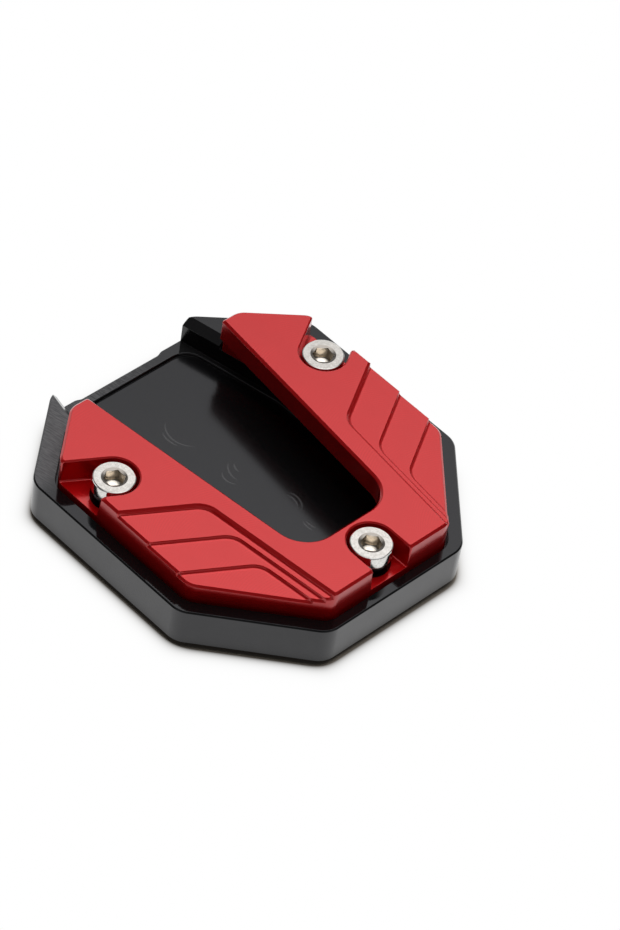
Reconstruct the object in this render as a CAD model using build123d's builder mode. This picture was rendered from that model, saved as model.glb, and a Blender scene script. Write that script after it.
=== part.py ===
from build123d import *
import os
from math import atan2, cos, degrees, radians, sin, tan

os.makedirs("parts", exist_ok=True)

# Tray outline: an octagon, short edge at the rear (+Y) where the stand's leg comes out
base_width = 75.8
base_length = 81.05
base_height = 10.0
rear_end_width = 37.7
front_end_width = 36.6
rear_corner_run = 16.13
front_corner_run = 22.04
base_corner_radius = 5.0
base_foot_bevel = 1.4
base_edge_bevel = 0.3

# Recess in the tray that locates the clamp plate, as rim widths from the tray's outer faces
recess_depth = 2.7
rear_land = 9.1
rear_rim = 4.3
side_rim = 2.9
front_corner_rim = 2.9
front_rim = 2.15

# Bay for the stand's foot: flared behind the two rear ears, with a shallow pocket in its floor
bay_width = 45.0
bay_flare = 12.0
bay_corner_radius = 8.0
bay_screw_wall = 2.7
ear_tip_width = 1.65
ear_bevel_width = 1.5
ear_bevel_height = 2.0
sill_height = 3.6
sill_length = 2.55
sill_margin = 1.2
sill_set_back = 0.5
sill_set_back_width = 21.0
sill_set_back_run = 1.2
sill_set_back_radius = 2.0
pocket_depth = 0.7
pocket_corner_radius = 4.5
pocket_edge_bevel = 0.2

# Clamp plate: bridges the bay and holds the foot's flange under its slotted top
clamp_height = 9.3
clamp_gap = 0.55
clamp_corner_radius = 4.0
clamp_edge_bevel = 0.5
flange_height = 4.1
slot_rear_width = 36.5
slot_taper = 6.44
slot_corner_radius = 7.0
slot_bridge = 1.3

# Open notches for the screws
notch_radius = 5.0
notch_turn = 30.0
notch_bevel = 0.3
notch_floor_radius = 0.35
ledge_thickness = 3.65
seat_diameter = 9.0
seat_depth = 0.4
side_screw_inset = 6.05
side_screw_station = 11.4
front_screw_inset = 5.85

# Terraces that step down from the slot to each front corner
first_step_station = 3.72
step_pitch = 8.68
step_drops = (1.05, 0.75, 0.75)
step_bands = (4.9, 6.15, 7.6)
step_turn_radius = 4.5
step_edge_bevel = 0.45

# Tapered-head socket screws, size M5
thread_diameter = 5.0
thread_clearance = 0.05
through_clearance = 0.15
screw_length = 8.0
screw_tip_bevel = 0.5
head_diameter = 8.7
head_foot_diameter = 6.8
head_sink = 0.2
head_edge_bevel = 0.25
socket_width = 4.0
socket_depth = 2.6
socket_mouth_diameter = 5.3
socket_turns = (30.0, 20.0, 10.0)

# Levels and stations that follow from the sizes above
rear = base_length / 2
front = -base_length / 2
recess_floor = base_height - recess_depth
clamp_top = recess_floor + clamp_height
ledge = recess_floor + ledge_thickness
screw_seat = ledge - seat_depth
pocket_floor = sill_height - pocket_depth
side_screw_x = base_width / 2 - side_rim - clamp_gap - side_screw_inset
front_screw_y = front + front_rim + clamp_gap + front_screw_inset
screw_points = (
    (-side_screw_x, side_screw_station),
    (side_screw_x, side_screw_station),
    (0.0, front_screw_y),
)
notch_turns = (180.0 - notch_turn, notch_turn, -90.0)
tapped_radius = thread_diameter / 2 + thread_clearance
bay_front = front_screw_y + tapped_radius + bay_screw_wall
ear_mouth = rear_end_width / 2 - ear_tip_width
slot_end = front_screw_y + notch_radius + slot_bridge
clamp_rear = rear - rear_land - clamp_gap
overshoot = base_length

half_outline = (
    Vector(0, rear),
    Vector(rear_end_width / 2, rear),
    Vector(base_width / 2, rear - rear_corner_run),
    Vector(base_width / 2, front + front_corner_run),
    Vector(front_end_width / 2, front),
    Vector(0, front),
)
recess_rims = (rear_land, rear_rim, side_rim, front_corner_rim, front_rim)


def both_sides(right):
    """Closed plan corners from those on the right-hand side."""
    return list(right) + [Vector(-point.X, point.Y) for point in reversed(right)]


def meet(start, along, other_start, other_along):
    """Point where two plan lines cross."""
    apart = other_start - start
    facing = along.X * other_along.Y - along.Y * other_along.X
    return start + along * ((apart.X * other_along.Y - apart.Y * other_along.X) / facing)


def outline_inside(rims):
    """Corners of the tray's outline drawn in by one rim width per side, from the rear edge to the front."""
    lines = []
    for start, end, rim in zip(half_outline, half_outline[1:], rims):
        along = (end - start).normalized()
        lines.append((start + Vector(along.Y, -along.X) * rim, along))
    return both_sides([meet(*line, *following) for line, following in zip(lines, lines[1:])])


def bay_corners(margin, rear_line):
    """Corners of the foot bay drawn in by a margin and closed at a rear line."""
    flare = Vector(sin(radians(bay_flare)), -cos(radians(bay_flare)))
    wall = Vector(ear_mouth, rear) + Vector(flare.Y, -flare.X) * margin
    side = Vector(bay_width / 2 - margin, 0)
    right = (
        meet(wall, flare, Vector(0, rear_line), Vector(1, 0)),
        meet(wall, flare, side, Vector(0, 1)),
        Vector(side.X, bay_front + margin),
    )
    return both_sides(right)


def slot_half_width(station):
    """Half the slot's width at a station along the part."""
    return slot_rear_width / 2 - tan(radians(slot_taper)) * (clamp_rear - station)


set_back = both_sides(
    (
        Vector(sill_set_back_width / 2 + sill_set_back_run, rear),
        Vector(sill_set_back_width / 2, rear - sill_set_back),
    )
)

# Tray, milled from bar and anodised
with BuildPart() as base_plate:
    with BuildSketch() as base_outline:
        Polygon(*outline_inside((0, 0, 0, 0, 0)), align=None)
        fillet(base_outline.vertices(), base_corner_radius)
        # The middle of the rear edge stands back a little
        Polygon(*set_back, align=None, mode=Mode.SUBTRACT)
        set_back_ends = [base_outline.vertices().sort_by_distance(corner)[0] for corner in set_back]
        fillet(set_back_ends, sill_set_back_radius)
    extrude(amount=base_height)
    chamfer(base_plate.faces().sort_by(Axis.Z)[0].edges(), base_foot_bevel)
    chamfer(base_plate.faces().sort_by(Axis.Z)[-1].edges(), base_edge_bevel)
    # Recess for the clamp plate
    with BuildSketch(Plane.XY.offset(recess_floor)) as recess:
        Polygon(*outline_inside(recess_rims), align=None)
        fillet(recess.vertices(), clamp_corner_radius + clamp_gap)
    extrude(amount=base_height, mode=Mode.SUBTRACT)
    # Foot bay, open between the rear ears
    with BuildSketch(Plane.XY.offset(sill_height)) as bay:
        Polygon(*bay_corners(0, rear + sill_length), align=None)
        fillet(bay.vertices().sort_by(Axis.Y)[:4], bay_corner_radius)
    extrude(amount=base_height, mode=Mode.SUBTRACT)
    # Bevel along the inner top edge of each ear
    with BuildSketch(Plane.XY.offset(base_height - ear_bevel_height)):
        Polygon(*bay_corners(0, rear + sill_length), align=None)
    extrude(
        amount=ear_bevel_height,
        taper=-degrees(atan2(ear_bevel_width, ear_bevel_height)),
        mode=Mode.SUBTRACT,
    )
    # Pocket inside the sill
    with BuildSketch(Plane.XY.offset(pocket_floor)) as pocket:
        Polygon(*bay_corners(sill_margin, rear - sill_length), align=None)
        fillet(pocket.vertices().sort_by(Axis.Y)[-2:], pocket_corner_radius)
        fillet(pocket.vertices().sort_by(Axis.Y)[:4], bay_corner_radius - sill_margin)
    extrude(amount=base_height, mode=Mode.SUBTRACT)
    with BuildSketch(Plane.XY.offset(sill_height - pocket_edge_bevel)):
        add(pocket.sketch)
    extrude(amount=pocket_edge_bevel, taper=-45, mode=Mode.SUBTRACT)
    # Tapped holes, right through
    with BuildSketch():
        with Locations(*screw_points):
            Circle(tapped_radius)
    extrude(amount=base_height, mode=Mode.SUBTRACT)

base_plate.part.label = "base_plate"
export_step(base_plate.part, "parts/base_plate.step")

# Cutters for the terraces, one per level, each with a coved foot
slot_along = Vector(sin(radians(slot_taper)), cos(radians(slot_taper)))
slot_aside = Vector(slot_along.Y, -slot_along.X)
notch_along = Vector(cos(radians(notch_turn)), sin(radians(notch_turn)))
clamp_side = base_width / 2 - side_rim - clamp_gap
clamp_outline = outline_inside([rim + clamp_gap for rim in recess_rims])
step_cutters = []
for index, (drop, band) in enumerate(zip(step_drops, step_bands)):
    level = clamp_top - sum(step_drops[: index + 1])
    slot_wall = Vector(slot_half_width(0), 0) + slot_aside * band
    outer_start = Vector(clamp_side, first_step_station - index * step_pitch)
    turn = meet(slot_wall, slot_along, outer_start, notch_along)
    region = (
        turn - slot_along * overshoot,
        turn,
        turn + notch_along * overshoot,
        Vector(turn.X + overshoot, turn.Y - overshoot),
    )
    # The top face's bevel runs on along the first step
    cove_radius = drop
    if index == 0:
        cove_radius = drop - clamp_edge_bevel
        with BuildPart() as top_bevel:
            with BuildSketch(Plane.XY.offset(clamp_top - clamp_edge_bevel)) as bevel_plan:
                Polygon(*region, align=None)
                fillet(bevel_plan.vertices().sort_by_distance(turn)[0], step_turn_radius)
            extrude(amount=clamp_edge_bevel, taper=-45)
            mirror(about=Plane.YZ)
        step_cutters.append(top_bevel.part)
    # Coved step wall
    with BuildPart() as step_cutter:
        with BuildSketch(Plane.XY.offset(level)) as step_plan:
            Polygon(*region, align=None)
            fillet(step_plan.vertices().sort_by_distance(turn)[0], step_turn_radius)
        extrude(amount=clamp_height)
        foot = step_cutter.faces().sort_by(Axis.Z)[0].edges()
        fillet(foot.sort_by_distance(turn)[:3], cove_radius)
        mirror(about=Plane.YZ)
    # Bevel around the outside of the terrace
    with BuildPart() as terrace_core:
        with BuildSketch(Plane.XY.offset(recess_floor)) as core_plan:
            Polygon(*clamp_outline, align=None)
            fillet(core_plan.vertices(), clamp_corner_radius)
        extrude(amount=level - recess_floor)
        chamfer(terrace_core.faces().sort_by(Axis.Z)[-1].edges(), step_edge_bevel)
        extrude(terrace_core.faces().sort_by(Axis.Z)[-1], amount=clamp_height)
    with BuildPart() as terrace_rim:
        with BuildSketch(Plane.XY.offset(level - step_edge_bevel)) as rim_plan:
            Polygon(*region, align=None)
            fillet(rim_plan.vertices().sort_by_distance(turn)[0], step_turn_radius)
        extrude(amount=clamp_height)
        mirror(about=Plane.YZ)
        add(terrace_core.part, mode=Mode.SUBTRACT)
    step_cutters.append(step_cutter.part)
    step_cutters.append(terrace_rim.part)

# Cutter for one open screw notch: bevelled edge, radiused ledge, spot face and clearance hole
notch_depth = clamp_top - ledge
with BuildPart() as notch_cutter:
    with BuildSketch() as notch_plan:
        Circle(notch_radius)
        Rectangle(base_width / 2, 2 * notch_radius, align=(Align.MIN, Align.CENTER))
    extrude(amount=notch_depth)
    fillet(notch_cutter.faces().sort_by(Axis.Z)[0].edges(), notch_floor_radius)
    with BuildSketch(Plane.XY.offset(notch_depth - notch_bevel)):
        Circle(notch_radius)
        Rectangle(base_width / 2, 2 * notch_radius, align=(Align.MIN, Align.CENTER))
    extrude(amount=notch_bevel, taper=-45)
    with BuildSketch(Plane.XY.offset(-seat_depth)):
        Circle(seat_diameter / 2)
    extrude(amount=seat_depth)
    with BuildSketch(Plane.XY.offset(-ledge_thickness)):
        Circle(thread_diameter / 2 + through_clearance)
    extrude(amount=ledge_thickness)
notch_places = [
    Location((point[0], point[1], ledge), (0, 0, turned)) for point, turned in zip(screw_points, notch_turns)
]

# Clamp plate, milled and anodised
with BuildPart() as clamp_plate:
    with BuildSketch(Plane.XY.offset(recess_floor)) as clamp_plan:
        Polygon(*clamp_outline, align=None)
        fillet(clamp_plan.vertices(), clamp_corner_radius)
    extrude(amount=clamp_height)
    chamfer(clamp_plate.faces().sort_by(Axis.Z)[-1].edges(), clamp_edge_bevel)
    # Stepped terraces
    for cutter in step_cutters:
        add(cutter, mode=Mode.SUBTRACT)
    # Tapered slot, open at the rear, with its bevelled edge
    slot_corners = both_sides(
        (
            Vector(slot_half_width(rear), rear),
            Vector(slot_half_width(slot_end), slot_end),
        )
    )
    with BuildSketch(Plane.XY.offset(recess_floor)) as slot:
        Polygon(*slot_corners, align=None)
        fillet(slot.vertices().sort_by(Axis.Y)[:2], slot_corner_radius)
    extrude(amount=clamp_height, mode=Mode.SUBTRACT)
    with BuildSketch(Plane.XY.offset(clamp_top - clamp_edge_bevel)) as slot_edge:
        Polygon(*slot_corners, align=None)
        fillet(slot_edge.vertices().sort_by(Axis.Y)[:2], slot_corner_radius)
    extrude(amount=clamp_edge_bevel, taper=-45, mode=Mode.SUBTRACT)
    # Rebate under the slot for the foot's flange
    with BuildSketch(Plane.XY.offset(recess_floor)) as rebate:
        Polygon(*bay_corners(0, rear), align=None)
        fillet(rebate.vertices().sort_by(Axis.Y)[:4], bay_corner_radius)
    extrude(amount=flange_height, mode=Mode.SUBTRACT)
    # Screw notches
    with Locations(*notch_places):
        add(notch_cutter.part, mode=Mode.SUBTRACT)

clamp_plate.part.label = "clamp_plate"
export_step(clamp_plate.part, "parts/clamp_plate.step")

# One screw, standing on its seat
head_height = clamp_top - head_sink - screw_seat
head_radius = head_diameter / 2
head_foot_radius = head_foot_diameter / 2
thread_radius = thread_diameter / 2
with BuildPart() as screw:
    with BuildSketch(Plane.XZ):
        Polygon(
            (0, -screw_length),
            (thread_radius - screw_tip_bevel, -screw_length),
            (thread_radius, screw_tip_bevel - screw_length),
            (thread_radius, 0),
            (head_foot_radius - head_edge_bevel, 0),
            (head_foot_radius, head_edge_bevel),
            (head_radius, head_height - head_edge_bevel),
            (head_radius - head_edge_bevel, head_height),
            (0, head_height),
            align=None,
        )
    revolve(axis=Axis.Z)
    # Hexagon socket with a countersunk mouth
    with BuildSketch(Plane.XY.offset(head_height - socket_depth)):
        RegularPolygon(socket_width / 2, 6, major_radius=False)
    extrude(amount=socket_depth, mode=Mode.SUBTRACT)
    mouth_depth = (socket_mouth_diameter - socket_width) / 2
    with BuildSketch(Plane.XZ):
        Polygon(
            (0, head_height),
            (0, head_height - mouth_depth),
            (socket_width / 2, head_height - mouth_depth),
            (socket_mouth_diameter / 2, head_height),
            align=None,
        )
    revolve(axis=Axis.Z, mode=Mode.SUBTRACT)

# Three of them, each left at the turn where it came tight
with BuildPart() as clamp_screws:
    for point, socket_turn in zip(screw_points, socket_turns):
        with Locations(Location((point[0], point[1], screw_seat), (0, 0, socket_turn))):
            add(screw.part)

clamp_screws.part.label = "clamp_screws"
export_step(clamp_screws.part, "parts/clamp_screws.step")
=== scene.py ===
import math

import bmesh
import bpy
from mathutils import Matrix, Vector


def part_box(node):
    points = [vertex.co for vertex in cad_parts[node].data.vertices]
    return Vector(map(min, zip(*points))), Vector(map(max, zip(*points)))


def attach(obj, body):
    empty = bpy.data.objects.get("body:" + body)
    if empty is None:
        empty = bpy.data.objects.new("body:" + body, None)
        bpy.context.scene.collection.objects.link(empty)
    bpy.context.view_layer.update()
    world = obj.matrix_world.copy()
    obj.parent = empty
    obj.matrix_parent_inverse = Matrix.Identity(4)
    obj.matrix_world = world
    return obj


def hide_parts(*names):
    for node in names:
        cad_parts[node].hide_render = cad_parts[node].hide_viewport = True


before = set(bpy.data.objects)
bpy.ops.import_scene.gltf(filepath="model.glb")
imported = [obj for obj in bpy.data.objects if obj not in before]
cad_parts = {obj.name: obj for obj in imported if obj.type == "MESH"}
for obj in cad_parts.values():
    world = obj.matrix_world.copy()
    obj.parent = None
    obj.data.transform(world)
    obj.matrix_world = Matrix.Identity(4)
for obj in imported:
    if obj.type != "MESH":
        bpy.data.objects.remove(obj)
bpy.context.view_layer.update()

# Tray: the black octagon that spreads the stand's foot on soft ground, with a bay for
# the foot, two ears at the open rear and a recess that locates the clamp plate.
# Milled from aluminium bar and black anodised over the bare tool marks.
MM = 0.001
MICRON = 0.001 * MM
TRAY_EDGE = 0.04 * MM
EDGE_STEPS = 2
ROUND_PROFILE = 0.5
WELD_REACH = 0.002 * MM
FLAT_TURN = math.radians(0.3)
SHARP_TURN = math.radians(28)
SMOOTH_TURN = math.radians(40)

# Faces that the finish tells apart, by level in millimetres and by how far they look up
RIM_TOP = 10.0
SILL_TOP = 3.6
POCKET_FLOOR = 2.9
LEVEL_NEAR = 0.1
LEVEL_FAR = 0.3
UPWARD_SPAN = (0.9, 0.99)

# Black anodising, with its relief in micrometres, and a pale colour that paints sheen on its tool marks
TRAY_DARK = (0.0035, 0.0035, 0.004, 1)
TRAY_PALE = (0.009, 0.009, 0.0095, 1)
TRAY_MARK_SHEEN = (0.2, 0.2, 0.204, 1)
TRAY_TINT = (0.95, 0.95, 1.0, 1)
TRAY_IOR = 1.43
TRAY_COAT_ROUGHNESS = 0.15
TRAY_CLOUD_SCALE = 0.16
TRAY_GRAIN_SCALE = 2.6
TRAY_GRAIN_SPAN = (0.3, 0.7)
TRAY_ROUGHNESS = 0.04
TRAY_GRAIN_ROUGHNESS = 0.04
TRAY_CLOUD_ROUGHNESS = 0.03
WALL_ROUGHNESS = 0.1
WALL_COAT = 0.25
WALL_CLOUD_COAT = 0.2
POCKET_ROUGHNESS = 0.09
TRAY_GRAIN_RELIEF = 0.48

# Brushing on the rim beside the rear left ear, and the cutter's strokes on the sill, both made paler with
# painted sheen
STROKE_TURN = -78
STROKE_LENGTH = 2.6
STROKE_WIDTH = 0.3
BRUSHED_STROKES = (0.3, 0.7)
BRUSHED_LEFT = (8.0, 16.0)
BRUSHED_REAR = (19.0, 25.0)
BRUSHED_LEAST = 0.35
BRUSHED_SHEEN = 0.8
BRUSHED_ROUGHNESS = 0.06
BRUSHED_RELIEF = 2.0
SILL_STROKES = (0.35, 0.65)
SILL_LEFT = (-12.0, 2.0)
SILL_LEAST = 0.15
SILL_SHEEN = 0.45

# Arcs of the face mill on the rim
FEED_PITCH = 0.62
FEED_LEAST = 0.01
RIM_FEED = (0.5, 0.87)
RIM_FEED_SHIFT = 30.0
RIM_CUTTER_RADIUS = 60.0
RIM_FEED_RELIEF = 0.4

# Arcs that the end mill left in the pocket, made paler with painted sheen
SWIRL_WIDTH = 0.3
SWIRL_SHEEN = 0.38
SWIRL_RELIEF = 4.8
SWIRLS = (
    # centre x, centre y, radius, middle of the arc in degrees, half spread in degrees
    (2.7, 21.1, 5.4, 180, 60),
    (1.7, 21.2, 5.3, 180, 30),
    (1.1, 6.0, 2.85, 180, 54),
    (4.6, 5.5, 4.6, 159, 36),
    (4.6, 6.4, 2.7, 160, 30),
    (2.5, -6.0, 4.1, -13, 46),
    (2.3, -5.9, 3.4, -10, 38),
    (7.6, -13.4, 5.0, 178, 20),
    (8.6, -12.6, 5.2, 188, 16),
)


class Value:
    """A value over a surface: one socket of a node tree, with sums that add Math nodes."""

    def __init__(self, tree, socket=None):
        self.tree = tree
        self.socket = socket

    def feed(self, socket, value):
        """Links or sets a node's input."""
        if isinstance(value, Value):
            self.tree.links.new(value.socket, socket)
        else:
            socket.default_value = value

    def node(self, kind, settings=None, sockets=None, out=0):
        """One output of a new node in the same tree."""
        made = self.tree.nodes.new(kind)
        for name, setting in (settings or {}).items():
            setattr(made, name, setting)
        for name, value in (sockets or {}).items():
            self.feed(made.inputs[name], value)
        return Value(self.tree, made.outputs[out])

    def math(self, operation, *values):
        return self.node("ShaderNodeMath", {"operation": operation}, dict(enumerate(values)))

    def __add__(self, other):
        return self.math("ADD", self, other)

    def __radd__(self, other):
        return self.math("ADD", other, self)

    def __sub__(self, other):
        return self.math("SUBTRACT", self, other)

    def __rsub__(self, other):
        return self.math("SUBTRACT", other, self)

    def __mul__(self, other):
        return self.math("MULTIPLY", self, other)

    def __rmul__(self, other):
        return self.math("MULTIPLY", other, self)

    def __truediv__(self, other):
        return self.math("DIVIDE", self, other)

    def __neg__(self):
        return self.math("SUBTRACT", 0.0, self)

    def __abs__(self):
        return self.math("ABSOLUTE", self)

    def root(self):
        return self.math("SQRT", self)

    def larger(self, other):
        return self.math("MAXIMUM", self, other)

    def parts(self):
        """The three coordinates of a vector."""
        split = self.node("ShaderNodeSeparateXYZ", sockets={0: self})
        return [Value(self.tree, output) for output in split.socket.node.outputs]

    def times(self, factor):
        """A vector made longer by a factor."""
        return self.node("ShaderNodeVectorMath", {"operation": "SCALE"}, {0: self, "Scale": factor})

    def rise(self, start, end):
        """0 up to start, 1 from end, smooth between them."""
        spans = {"Value": self, "From Min": start, "From Max": end}
        return self.node("ShaderNodeMapRange", {"interpolation_type": "SMOOTHSTEP"}, spans)

    def blend(self, low, high):
        """Colour that goes from low to high as this value goes from 0 to 1."""
        return self.node("ShaderNodeMix", {"data_type": "RGBA"}, {0: self, 6: low, 7: high}, out=2)

    def noise(self, scale, detail, roughness=0.6):
        """Cloudy noise at this place."""
        return self.node(
            "ShaderNodeTexNoise",
            sockets={"Vector": self, "Scale": scale, "Detail": detail, "Roughness": roughness},
        )

    def stretched(self, turn, along, across):
        """This place turned in plan and stretched, for grain that runs one way."""
        return self.node(
            "ShaderNodeMapping",
            {"vector_type": "TEXTURE"},
            {"Vector": self, "Rotation": (0, 0, math.radians(turn)), "Scale": (along, across, 1)},
        )


def new_finish(name):
    """A material's shader, with the place in millimetres and a mask of faces that look straight up."""
    material = bpy.data.materials.new(name)
    material.use_nodes = True
    tree = material.node_tree
    shader = tree.nodes["Principled BSDF"]
    metres = Value(tree).node("ShaderNodeTexCoord", out=3)
    facing = Value(tree, metres.socket.node.outputs["Normal"])
    return material, shader, metres.times(1 / MM), facing.parts()[2].rise(*UPWARD_SPAN)


def above(height, level):
    """1 from just under a level upwards, 0 below it."""
    return height.rise(level - LEVEL_FAR, level - LEVEL_NEAR)


def below(height, level):
    """1 up to just over a level, 0 above it."""
    return 1 - height.rise(level + LEVEL_NEAR, level + LEVEL_FAR)


def feed_marks(along, aside, radius):
    """Waves of the arcs that a face mill of this radius leaves as it is fed along."""
    lead = (radius * radius - aside * aside).larger(FEED_LEAST).root()
    return lead.math("SINE", (along - lead) * (2 * math.pi / FEED_PITCH))


def swirl_mark(x, y, centre_x, centre_y, radius, middle, spread):
    """One arc of the end mill, strongest at its middle."""
    off_x = x - centre_x
    off_y = y - centre_y
    reach = (off_x * off_x + off_y * off_y).root()
    line = 1 - abs(reach - radius).rise(0.0, SWIRL_WIDTH)
    angle = math.radians(middle)
    side = (off_x * math.cos(angle) + off_y * math.sin(angle)) / reach
    return line * side.rise(math.cos(math.radians(spread)), 1.0)


def relief(shader, height):
    """Fine relief on a surface, from its height in micrometres."""
    bump = height.node("ShaderNodeBump", sockets={"Height": height, "Strength": 1.0, "Distance": MICRON})
    height.feed(shader.inputs["Normal"], bump)


def machined_copy(node, name, finish, edge, ease_corners=None):
    """A merged copy of a milled plate with its sharp edges broken, after its corners are eased."""
    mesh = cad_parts[node].data.copy()
    mesh.name = name
    mesh.materials.clear()
    mesh.materials.append(finish)
    work = bmesh.new()
    work.from_mesh(mesh)
    bmesh.ops.remove_doubles(work, verts=work.verts, dist=WELD_REACH)
    bmesh.ops.dissolve_limit(work, angle_limit=FLAT_TURN, verts=work.verts, edges=work.edges)
    if ease_corners:
        ease_corners(work)
    sharp = [e for e in work.edges if e.is_manifold and e.calc_face_angle(0) > SHARP_TURN]
    bmesh.ops.bevel(
        work,
        geom=sharp,
        offset=edge,
        segments=EDGE_STEPS,
        profile=ROUND_PROFILE,
        affect="EDGES",
        loop_slide=True,
    )
    work.to_mesh(mesh)
    work.free()
    piece = bpy.data.objects.new(name, mesh)
    bpy.context.scene.collection.objects.link(piece)
    for polygon in mesh.polygons:
        polygon.use_smooth = True
    mesh.set_sharp_from_angle(angle=SMOOTH_TURN)
    weigh = piece.modifiers.new("flat faces lead", "WEIGHTED_NORMAL")
    weigh.keep_sharp = True
    weigh.mode = "FACE_AREA"
    whole = piece.evaluated_get(bpy.context.evaluated_depsgraph_get())
    piece.data = bpy.data.meshes.new_from_object(whole)
    piece.data.name = name
    piece.modifiers.clear()
    return piece


tray_black, shader, place, upward = new_finish("tray_black")
shader.inputs["IOR"].default_value = TRAY_IOR
shader.inputs["Specular Tint"].default_value = TRAY_TINT
shader.inputs["Coat Roughness"].default_value = TRAY_COAT_ROUGHNESS
x, y, z = place.parts()
walls = 1 - upward
rim = upward * above(z, RIM_TOP)
sill = upward * above(z, SILL_TOP) * below(z, SILL_TOP)
pocket = upward * below(z, POCKET_FLOOR)
clouds = place.noise(TRAY_CLOUD_SCALE, detail=2.0)
grain = place.noise(TRAY_GRAIN_SCALE, detail=4.0, roughness=0.7)
strokes = place.stretched(STROKE_TURN, STROKE_LENGTH, STROKE_WIDTH).noise(1.0, detail=3.0, roughness=0.65)
brushed_and_sheen = BRUSHED_LEAST + strokes.rise(*BRUSHED_STROKES) * (1 - BRUSHED_LEAST)
brushed_and_sheen = rim * (-x).rise(*BRUSHED_LEFT) * y.rise(*BRUSHED_REAR) * brushed_and_sheen
fed_and_sheen = SILL_LEAST + strokes.rise(*SILL_STROKES) * (-x).rise(*SILL_LEFT) * (1 - SILL_LEAST)
fed_and_sheen = sill * fed_and_sheen
feed_x, feed_y = RIM_FEED
arcs = feed_marks(x * feed_x + y * feed_y, x * feed_y - y * feed_x + RIM_FEED_SHIFT, RIM_CUTTER_RADIUS)
swirl_and_sheen = pocket * sum(swirl_mark(x, y, *arc) for arc in SWIRLS)
black = grain.rise(*TRAY_GRAIN_SPAN).blend(TRAY_DARK, TRAY_PALE)
# Real tool marks painted paler, a painted sheen that is strongest on the left of the rim and sill
marks_and_sheen = brushed_and_sheen * BRUSHED_SHEEN + fed_and_sheen * SILL_SHEEN + swirl_and_sheen * SWIRL_SHEEN
place.feed(shader.inputs["Base Color"], marks_and_sheen.blend(black, TRAY_MARK_SHEEN))
skin = TRAY_ROUGHNESS + grain * TRAY_GRAIN_ROUGHNESS + clouds * TRAY_CLOUD_ROUGHNESS
wear = walls * WALL_ROUGHNESS + pocket * POCKET_ROUGHNESS + brushed_and_sheen * BRUSHED_ROUGHNESS
place.feed(shader.inputs["Roughness"], skin + wear)
place.feed(shader.inputs["Coat Weight"], walls * (WALL_COAT + clouds * WALL_CLOUD_COAT))
tooled = brushed_and_sheen * BRUSHED_RELIEF + rim * arcs * RIM_FEED_RELIEF + swirl_and_sheen * SWIRL_RELIEF
relief(shader, grain * TRAY_GRAIN_RELIEF + tooled)

tray = machined_copy("base_plate", "tray", tray_black, TRAY_EDGE)
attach(tray, "root")
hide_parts("base_plate")

# Clamp plate: lies in the tray's recess and holds the foot's flange under its tapered slot.
# Milled aluminium with three coved terraces on each side and an open notch for each screw,
# red anodised, so faint tool marks show through a satin gloss.
CLAMP_EDGE = 0.04 * MM

# Upright corners at the mouths of the screw notches
MOUTH_CORNER = 0.45 * MM
MOUTH_CORNER_STEPS = 5
MOUTH_CORNER_TURN = math.radians(35)
MOUTH_CORNER_LENGTH = 1.5 * MM
MOUTH_CORNER_SWAY = 0.01 * MM
MOUTH_CORNER_CLIMB = 0.1 * MM

# Red anodising, with painted shade in the seats under the screw heads
CLAMP_RED = (0.7, 0.003, 0.005, 1)
CLAMP_BRIGHT = (0.8, 0.006, 0.009, 1)
SEAT_PAINTED_SHADE = (0.02, 0.001, 0.001, 1)
SEAT_FLOOR = 10.55
CLAMP_METALLIC = 0.35
CLAMP_COAT_ROUGHNESS = 0.15
CLAMP_COAT_IOR = 1.5
CLAMP_CLOUD_SCALE = 0.12
CLAMP_GRAIN_SCALE = 2.2
CLAMP_GRAIN_TONE = 0.5
CLAMP_CLOUD_TONE = 0.8
CLAMP_ROUGHNESS = 0.18
CLAMP_GRAIN_ROUGHNESS = 0.06
CLAMP_CLOUD_ROUGHNESS = 0.04
CLAMP_GRAIN_RELIEF = 1.2

# Arcs of the face mill, fed along each arm and seen in patches
ARM_MIDDLE = 22.0
ARM_CUTTER_RADIUS = 16.0
ARM_FEED_PATCHES = (0.38, 0.75)
ARM_FEED_TONE = 0.5


def ease_mouth_corners(work):
    """Rounds each tall upright corner, and the bevels that carry it on to the top face."""
    upright = [
        e
        for e in work.edges
        if e.is_convex
        and e.calc_face_angle(0) > MOUTH_CORNER_TURN
        and abs(e.verts[0].co.z - e.verts[1].co.z) > MOUTH_CORNER_LENGTH
        and (e.verts[0].co - e.verts[1].co).xy.length < MOUTH_CORNER_SWAY
    ]
    for corner in upright:
        chain = [corner]
        top = max(corner.verts, key=lambda end: end.co.z)
        while True:
            rising = [
                e
                for e in top.link_edges
                if e not in chain and e.is_convex and e.other_vert(top).co.z - top.co.z > MOUTH_CORNER_CLIMB
            ]
            if not rising:
                break
            chain.append(max(rising, key=lambda e: e.calc_face_angle(0)))
            top = chain[-1].other_vert(top)
        reach = MOUTH_CORNER / math.tan((math.pi - corner.calc_face_angle()) / 2)
        bmesh.ops.bevel(
            work,
            geom=chain,
            offset=reach,
            segments=MOUTH_CORNER_STEPS,
            profile=ROUND_PROFILE,
            affect="EDGES",
        )


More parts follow.
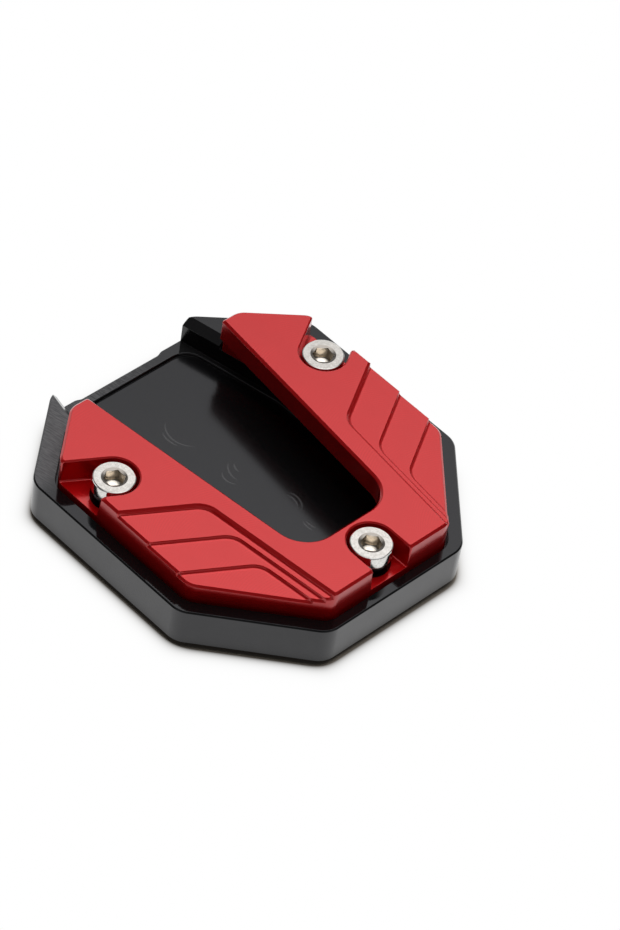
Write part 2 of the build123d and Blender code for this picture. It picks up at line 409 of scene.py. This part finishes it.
clamp_red, shader, place, upward = new_finish("clamp_red")
shader.inputs["Metallic"].default_value = CLAMP_METALLIC
shader.inputs["Specular IOR Level"].default_value = 0.0
shader.inputs["Coat Weight"].default_value = 1.0
shader.inputs["Coat Roughness"].default_value = CLAMP_COAT_ROUGHNESS
shader.inputs["Coat IOR"].default_value = CLAMP_COAT_IOR
x, y, z = place.parts()
clouds = place.noise(CLAMP_CLOUD_SCALE, detail=2.0)
grain = place.noise(CLAMP_GRAIN_SCALE, detail=4.0, roughness=0.7)
arcs = feed_marks(y, abs(x) - ARM_MIDDLE, ARM_CUTTER_RADIUS)
shown = clouds.rise(*ARM_FEED_PATCHES) * upward
middle_tone = 0.5
tone = middle_tone + (grain - middle_tone) * CLAMP_GRAIN_TONE + (clouds - middle_tone) * CLAMP_CLOUD_TONE
red = (tone + arcs * shown * ARM_FEED_TONE).blend(CLAMP_RED, CLAMP_BRIGHT)
# Painted shade: the seat floors under the screw heads are coloured dark, as the heads' shadow
seat_shade = upward * below(z, SEAT_FLOOR)
place.feed(shader.inputs["Base Color"], seat_shade.blend(red, SEAT_PAINTED_SHADE))
skin = CLAMP_ROUGHNESS + grain * CLAMP_GRAIN_ROUGHNESS + clouds * CLAMP_CLOUD_ROUGHNESS
place.feed(shader.inputs["Roughness"], skin)
relief(shader, grain * CLAMP_GRAIN_RELIEF)

clamp = machined_copy("clamp_plate", "clamp", clamp_red, CLAMP_EDGE, ease_mouth_corners)
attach(clamp, "root")
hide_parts("clamp_plate")

# Clamp screws: three M5 socket screws with tapered heads, turned from stainless bar.
# Each stands in an open notch of the clamp plate and pulls it down on to the tray.
# The head has a satin top, a polished band and a cone that stands in the notch, coloured dark with painted
# shade.
HEAD_DIAMETER = 8.7
HEAD_HEIGHT = 5.65
HEAD_EDGE = 0.25
HEAD_EDGE_ROUND = 0.35
HEAD_SIDES = 72
BAND_DIAMETER = 9.0
BAND_HEIGHT = 2.6
BAND_FOOT = HEAD_HEIGHT - BAND_HEIGHT
CONE_FOOT_DIAMETER = 6.9
THREAD_DIAMETER = 5.0
THREAD_PITCH = 0.8
THREAD_DEPTH = 0.42
THREAD_ROWS = 84
THREAD_RUN_OUT = (-1.5, -0.75)
SHANK_LENGTH = 8.0
TIP_BEVEL = 0.5
ACROSS_FLATS = 4.0
SOCKET_DEPTH = 2.9
SOCKET_TURNS = (30.0, 20.0, 10.0)
MOUTH_DIAMETER = 5.3
MOUTH_SLOPE = math.radians(20)
DRILL_SLOPE = math.radians(30)
DRILL_SIDES = 48
DRILL_SHARE = 0.98
SCREW_SMOOTH_TURN = math.radians(20)

# Stainless steel, with its masks in millimetres up and out from the foot of the head
SCREW_STEEL = (0.62, 0.605, 0.575, 1)
SCREW_BRIGHT = (0.78, 0.77, 0.745, 1)
SATIN_DARK = (0.47, 0.447, 0.42, 1)
SATIN_PALE = (0.61, 0.587, 0.558, 1)
SOCKET_PAINTED_LIGHT = (0.8, 0.74, 0.66, 1)
MOUTH_DARK = (0.3, 0.275, 0.25, 1)
CONE_PAINTED_SHADE = (0.04, 0.04, 0.045, 1)
SOCKET_EDGE = 0.05
SOCKET_FROM = (0.3, 0.6)
MOUTH_FROM = (HEAD_HEIGHT - 0.3, HEAD_HEIGHT - 0.2)
CONE_OUTSIDE = (2.7, 2.9)
BAND_FROM = (BAND_FOOT - 0.3, BAND_FOOT)
SCREW_CLOUD_SCALE = 1.1
SCREW_GRAIN_SCALE = 3.0
MOTTLE_GRAIN = 0.6
MOTTLE_CLOUDS = 0.4
MOTTLE_SPAN = (0.35, 0.65)
RING_PITCH = 0.21
BROACH_STRETCH = 0.1
BROACH_SCALE = 5.0
SCREW_ROUGHNESS = 0.06
SCREW_GRAIN_ROUGHNESS = 0.06
SCREW_CLOUD_ROUGHNESS = 0.04
RING_ROUGHNESS = 0.02
SOCKET_ROUGHNESS = 0.08
SCREW_GRAIN_RELIEF = 0.9
RING_RELIEF = 0.75
BROACH_RELIEF = 12.0

screw_steel, shader, place, upward = new_finish("screw_steel")
shader.inputs["Metallic"].default_value = 1.0
turned = place.node("ShaderNodeAttribute", {"attribute_name": "screw_place"}, out=1)
u, v, w = turned.parts()
radius = (u * u + v * v).root()
rings = radius.math("SINE", radius * (2 * math.pi / RING_PITCH))
grain = place.noise(SCREW_GRAIN_SCALE, detail=4.0, roughness=0.65)
clouds = place.noise(SCREW_CLOUD_SCALE, detail=2.0)
drawn = turned.node("ShaderNodeMapping", sockets={"Vector": turned, "Scale": (1, 1, BROACH_STRETCH)})
broached = drawn.noise(BROACH_SCALE, detail=2.0)
inside = 1 - radius.rise(MOUTH_DIAMETER / 2 - SOCKET_EDGE, MOUTH_DIAMETER / 2 + SOCKET_EDGE)
socket = inside * w.rise(*SOCKET_FROM)
mouth = socket * w.rise(*MOUTH_FROM)
# Painted shade: the cone under the band is coloured near black, as it looks where it mirrors the shadowed
# notch
cone_shade = radius.rise(*CONE_OUTSIDE) * (1 - w.rise(*BAND_FROM))
top = upward * (1 - socket)
mottle = (grain * MOTTLE_GRAIN + clouds * MOTTLE_CLOUDS).rise(*MOTTLE_SPAN)
steel = top.blend(mottle.blend(SCREW_STEEL, SCREW_BRIGHT), mottle.blend(SATIN_DARK, SATIN_PALE))
# Painted light: the socket is coloured paler and warmer than the steel around it
steel = mouth.blend(socket.blend(steel, SOCKET_PAINTED_LIGHT), MOUTH_DARK)
place.feed(shader.inputs["Base Color"], cone_shade.blend(steel, CONE_PAINTED_SHADE))
skin = SCREW_ROUGHNESS + grain * SCREW_GRAIN_ROUGHNESS + clouds * SCREW_CLOUD_ROUGHNESS
place.feed(shader.inputs["Roughness"], skin + rings * top * RING_ROUGHNESS + socket * SOCKET_ROUGHNESS)
tooled = rings * top * RING_RELIEF + broached * socket * BROACH_RELIEF
relief(shader, grain * SCREW_GRAIN_RELIEF + tooled)

# The turned blank, with rows along the shank for the thread
threaded_length = SHANK_LENGTH - TIP_BEVEL
profile = [(0.0, -SHANK_LENGTH), (THREAD_DIAMETER / 2 - TIP_BEVEL, -SHANK_LENGTH)]
for row in range(THREAD_ROWS + 1):
    profile.append((THREAD_DIAMETER / 2, threaded_length * (row / THREAD_ROWS - 1)))
profile += [
    (CONE_FOOT_DIAMETER / 2 - HEAD_EDGE, 0.0),
    (CONE_FOOT_DIAMETER / 2, HEAD_EDGE),
    (BAND_DIAMETER / 2, BAND_FOOT),
    (HEAD_DIAMETER / 2, HEAD_HEIGHT - HEAD_EDGE),
    (HEAD_DIAMETER / 2 - HEAD_EDGE * HEAD_EDGE_ROUND, HEAD_HEIGHT - HEAD_EDGE * HEAD_EDGE_ROUND),
    (HEAD_DIAMETER / 2 - HEAD_EDGE, HEAD_HEIGHT),
    (0.0, HEAD_HEIGHT),
]
work = bmesh.new()
corners = [work.verts.new((across * MM, 0, height * MM)) for across, height in profile]
for first, second in zip(corners, corners[1:]):
    work.edges.new((first, second))
bmesh.ops.spin(
    work,
    geom=work.verts[:] + work.edges[:],
    axis=(0, 0, 1),
    cent=(0, 0, 0),
    steps=HEAD_SIDES,
    angle=2 * math.pi,
    use_merge=True,
)
bmesh.ops.remove_doubles(work, verts=work.verts, dist=MICRON)
bmesh.ops.recalc_face_normals(work, faces=work.faces)
blank_mesh = bpy.data.meshes.new("screw_blank")
work.to_mesh(blank_mesh)
work.free()
blank = bpy.data.objects.new("screw_blank", blank_mesh)
bpy.context.scene.collection.objects.link(blank)

# Where the three screws stand, and how far each socket is turned
low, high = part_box("clamp_screws")
head_radius = HEAD_DIAMETER / 2 * MM
seat_height = low[2] + SHANK_LENGTH * MM
spots = [
    (low[0] + head_radius, high[1] - head_radius, seat_height),
    (high[0] - head_radius, high[1] - head_radius, seat_height),
    (0.0, low[1] + head_radius, seat_height),
]
spot_mesh = bpy.data.meshes.new("screws")
spot_mesh.from_pydata(spots, [], [])
turns = spot_mesh.attributes.new("turn", "FLOAT", "POINT")
turns.data.foreach_set("value", [math.radians(turn) for turn in SOCKET_TURNS])
screws = bpy.data.objects.new("screws", spot_mesh)
bpy.context.scene.collection.objects.link(screws)

screw_inputs = {
    "Blank": ("NodeSocketObject", blank),
    "Head Height": ("NodeSocketFloat", HEAD_HEIGHT * MM),
    "Across Flats": ("NodeSocketFloat", ACROSS_FLATS * MM),
    "Socket Depth": ("NodeSocketFloat", SOCKET_DEPTH * MM),
    "Drill Slope": ("NodeSocketFloat", DRILL_SLOPE),
    "Mouth Slope": ("NodeSocketFloat", MOUTH_SLOPE),
    "Mouth Diameter": ("NodeSocketFloat", MOUTH_DIAMETER * MM),
    "Thread Pitch": ("NodeSocketFloat", THREAD_PITCH * MM),
    "Thread Depth": ("NodeSocketFloat", THREAD_DEPTH * MM),
    "Shank Length": ("NodeSocketFloat", SHANK_LENGTH * MM),
    "Finish": ("NodeSocketMaterial", screw_steel),
}
tree = bpy.data.node_groups.new("socket_screws", "GeometryNodeTree")
tree.interface.new_socket("Spots", in_out="INPUT", socket_type="NodeSocketGeometry")
tree.interface.new_socket("Screws", in_out="OUTPUT", socket_type="NodeSocketGeometry")
identifiers = {}
for label, (kind, _) in screw_inputs.items():
    identifiers[label] = tree.interface.new_socket(label, in_out="INPUT", socket_type=kind).identifier
start = Value(tree)
given = start.node("NodeGroupInput").socket.node.outputs
size = {label: Value(tree, given[label]) for label in screw_inputs}


def raised(shape, height):
    """A cutter moved up the screw's axis."""
    up = shape.node("ShaderNodeCombineXYZ", sockets={2: height})
    return shape.node("GeometryNodeTransform", sockets={"Geometry": shape, "Translation": up})


# The shank's thread, cut into the turned blank as one helical groove
position = start.node("GeometryNodeInputPosition")
u, v, w = position.parts()
pitch = size["Thread Pitch"]
climb = w / pitch - start.math("ARCTAN2", v, u) / (2 * math.pi)
groove = abs(start.math("FRACT", climb) * 2 - 1)
tip = -size["Shank Length"]
run_out_from, run_out_to = THREAD_RUN_OUT
full_depth = w.rise(tip, tip + pitch) * (1 - w.rise(pitch * run_out_from, pitch * run_out_to))
inward = -(groove * full_depth * size["Thread Depth"])
outward = start.node("ShaderNodeCombineXYZ", sockets={0: u, 1: v, 2: 0.0})
outward = start.node("ShaderNodeVectorMath", {"operation": "NORMALIZE"}, {0: outward})
blank_shape = start.node("GeometryNodeObjectInfo", sockets={"Object": size["Blank"]}, out=4)
threaded = start.node(
    "GeometryNodeSetPosition",
    sockets={"Geometry": blank_shape, "Offset": outward.times(inward)},
)

# The broached hexagon socket, its countersunk mouth and the drill's point below it,
# a touch narrower than the flats and set a touch into the socket so that the cuts overlap
flat_radius = size["Across Flats"] / 2
hexagon = start.node(
    "GeometryNodeMeshCylinder",
    {"fill_type": "NGON"},
    {"Vertices": 6, "Radius": size["Across Flats"] / math.sqrt(3), "Depth": size["Socket Depth"] * 2},
)
drill_depth = flat_radius * start.math("TANGENT", size["Drill Slope"])
drill = start.node(
    "GeometryNodeMeshCone",
    {"fill_type": "NGON"},
    {
        "Vertices": DRILL_SIDES,
        "Radius Top": flat_radius * DRILL_SHARE,
        "Radius Bottom": 0.0,
        "Depth": drill_depth,
    },
)
mouth_depth = (size["Mouth Diameter"] / 2 - flat_radius) * start.math("TANGENT", size["Mouth Slope"])
mouth = start.node(
    "GeometryNodeMeshCone",
    {"fill_type": "NGON"},
    {
        "Vertices": HEAD_SIDES,
        "Radius Top": size["Mouth Diameter"] - flat_radius,
        "Radius Bottom": flat_radius,
        "Depth": mouth_depth * 2,
    },
)
cut = start.node(
    "GeometryNodeMeshBoolean",
    {"operation": "DIFFERENCE", "solver": "EXACT"},
    {"Mesh 1": threaded},
)
for cutter in (
    raised(hexagon, size["Head Height"]),
    raised(drill, size["Head Height"] - size["Socket Depth"] - drill_depth * DRILL_SHARE),
    raised(mouth, size["Head Height"] - mouth_depth),
):
    tree.links.new(cutter.socket, cut.socket.node.inputs["Mesh 2"])

# Each point keeps its place on its own screw, which the finish follows
kept = start.node(
    "GeometryNodeStoreNamedAttribute",
    {"data_type": "FLOAT_VECTOR", "domain": "POINT"},
    {"Geometry": cut, "Name": "screw_place", "Value": position.times(1 / MM)},
)
turn = start.node("GeometryNodeInputNamedAttribute", {"data_type": "FLOAT"}, {"Name": "turn"})
placed = start.node(
    "GeometryNodeInstanceOnPoints",
    sockets={
        "Points": Value(tree, given["Spots"]),
        "Instance": kept,
        "Rotation": start.node("ShaderNodeCombineXYZ", sockets={2: turn}),
    },
)
real = start.node("GeometryNodeRealizeInstances", sockets={"Geometry": placed})
finished = start.node("GeometryNodeSetMaterial", sockets={"Geometry": real, "Material": size["Finish"]})
tree.links.new(finished.socket, tree.nodes.new("NodeGroupOutput").inputs[0])

modifier = screws.modifiers.new("socket screws", "NODES")
modifier.node_group = tree
for label, (_, value) in screw_inputs.items():
    modifier[identifiers[label]] = value
whole = screws.evaluated_get(bpy.context.evaluated_depsgraph_get())
screws.data = bpy.data.meshes.new_from_object(whole)
screws.data.name = "screws"
screws.modifiers.clear()
for polygon in screws.data.polygons:
    polygon.use_smooth = True
screws.data.set_sharp_from_angle(angle=SCREW_SMOOTH_TURN)
bpy.data.objects.remove(blank)
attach(screws, "root")
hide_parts("clamp_screws")

# Floor: a plain sheet that glows white to the camera and in the part's gloss.
# Close around the tray's outline the glow fades by a painted shadow falloff, down to darkened paper that
# also takes the part's real soft shadow.
FLOOR_HALF = 4.0
FLOOR_DROP = 0.02 * MM
DARKENED_SHADOW_PAPER = (0.42, 0.37, 0.31, 1)
WHITE = (1, 1, 1, 1)
HALF_OUTLINE = ((0.0, 40.5), (18.85, 40.5), (37.9, 24.4), (37.9, -18.5), (18.3, -40.5), (0.0, -40.5))
SHADOW_DEPTH = 1.05
SHADOW_REACH = 0.9 * MM
SHADOW_LEAN = -0.2 * MM
SHADOW_CORNER = 3.5 * MM
paper_white = bpy.data.materials.new("paper_white")
paper_white.use_nodes = True
tree = paper_white.node_tree
tree.nodes.clear()
start = Value(tree)
rays = start.node("ShaderNodeLightPath").socket.node.outputs
mirrored = Value(tree, rays["Is Glossy Ray"]).larger(Value(tree, rays["Is Transmission Ray"]))
seen = Value(tree, rays["Is Camera Ray"]).larger(mirrored)
x, y = start.node("ShaderNodeTexCoord", out=3).parts()[:2]
across = abs(x)
along = y - SHADOW_LEAN
away = None
for (start_x, start_y), (end_x, end_y) in zip(HALF_OUTLINE, HALF_OUTLINE[1:]):
    run = Vector((end_x - start_x, end_y - start_y)).normalized()
    off = across * -run.y + along * run.x + (start_x * run.y - start_y * run.x) * MM
    away = off if away is None else start.math("SMOOTH_MAX", away, off, SHADOW_CORNER)
# Painted shadow: the glow fades with distance from the outline, not with the light that reaches the floor
shade = start.math("EXPONENT", away * (-1 / SHADOW_REACH)) * SHADOW_DEPTH
lit = start.node("ShaderNodeBsdfDiffuse", sockets={"Color": DARKENED_SHADOW_PAPER})
glow = start.node("ShaderNodeEmission", sockets={"Color": WHITE, "Strength": 1.0})
sheet = start.node("ShaderNodeMixShader", sockets={0: seen * (1 - shade).larger(0.0), 1: lit, 2: glow})
tree.links.new(sheet.socket, tree.nodes.new("ShaderNodeOutputMaterial").inputs["Surface"])
floor_mesh = bpy.data.meshes.new("floor")
floor_corners = [
    (-FLOOR_HALF, -FLOOR_HALF, -FLOOR_DROP),
    (FLOOR_HALF, -FLOOR_HALF, -FLOOR_DROP),
    (FLOOR_HALF, FLOOR_HALF, -FLOOR_DROP),
    (-FLOOR_HALF, FLOOR_HALF, -FLOOR_DROP),
]
floor_mesh.from_pydata(floor_corners, [], [(0, 1, 2, 3)])
floor_mesh.materials.append(paper_white)
floor = bpy.data.objects.new("floor", floor_mesh)
bpy.context.scene.collection.objects.link(floor)

# Studio light: one broad soft box over the rear right of the part, in a dark room.
# The camera sees white all round. The part's gloss mirrors a pale surround, dimmer at the
# front right and the rear left, which doesn't light the part.
BOX_MIDDLE = (0.268, 0.14, 0.954)
BOX_EDGE = (0.76, 0.95)
BOX_LEVEL = 1.85
ROOM_LEVEL = 0.05
SURROUND_LEVEL = 0.36
SURROUND_TOP = (0.4, 0.8)
DIM_SIDE = (0.8, -0.6, 0.0)
DIM_EDGE = (0.65, 0.9)
DIM_SHARE = 0.8
world = bpy.data.worlds.new("studio")
bpy.context.scene.world = world
world.use_nodes = True
tree = world.node_tree
tree.nodes.clear()
start = Value(tree)
heading = start.node("ShaderNodeTexCoord", out=0)


def toward(side):
    """How far a ray's heading agrees with a side, as a cosine."""
    return heading.node("ShaderNodeVectorMath", {"operation": "DOT_PRODUCT"}, {0: heading, 1: side}, out=1)


box = ROOM_LEVEL + (BOX_LEVEL - ROOM_LEVEL) * toward(BOX_MIDDLE).rise(*BOX_EDGE)
rays = start.node("ShaderNodeLightPath").socket.node.outputs
mirrored = Value(tree, rays["Is Glossy Ray"]).larger(Value(tree, rays["Is Transmission Ray"]))
below_top = 1 - heading.parts()[2].rise(*SURROUND_TOP)
undimmed = 1 - abs(toward(DIM_SIDE)).rise(*DIM_EDGE) * DIM_SHARE
surround = mirrored * SURROUND_LEVEL * below_top * undimmed
level = box.larger(surround).larger(Value(tree, rays["Is Camera Ray"]))
sky = start.node("ShaderNodeBackground", sockets={"Color": WHITE, "Strength": level})
tree.links.new(sky.socket, tree.nodes.new("ShaderNodeOutputWorld").inputs["Surface"])

# Camera: a long lens high over the front left corner, leaning a little, as in the photograph.
# Its place and angles are fitted to the part's straight edges there.
FOCAL_PX = 4000.0
FRAME_HEIGHT_PX = 930.0
SENSOR = 36.0
NEAREST = 0.01
AZIMUTH = math.radians(-50.6)
ELEVATION = math.radians(45.66)
LEAN = math.radians(9.76)
EYE = Vector((-421.4, -359.565, 580.5)) * MM
level_back = Vector((math.sin(AZIMUTH), -math.cos(AZIMUTH), 0))
level_right = Vector((math.cos(AZIMUTH), math.sin(AZIMUTH), 0))
back = level_back * math.cos(ELEVATION) + Vector((0, 0, math.sin(ELEVATION)))
level_up = back.cross(level_right)
right = level_right * math.cos(LEAN) + level_up * math.sin(LEAN)
up = level_up * math.cos(LEAN) - level_right * math.sin(LEAN)
lens = bpy.data.cameras.new("camera")
lens.sensor_width = SENSOR
lens.lens = FOCAL_PX / FRAME_HEIGHT_PX * SENSOR
lens.clip_start = NEAREST
camera = bpy.data.objects.new("camera", lens)
camera.matrix_world = Matrix.Translation(EYE) @ Matrix((right, up, back)).transposed().to_4x4()
bpy.context.scene.collection.objects.link(camera)
bpy.context.scene.camera = camera
bpy.context.scene.view_settings.view_transform = "Standard"
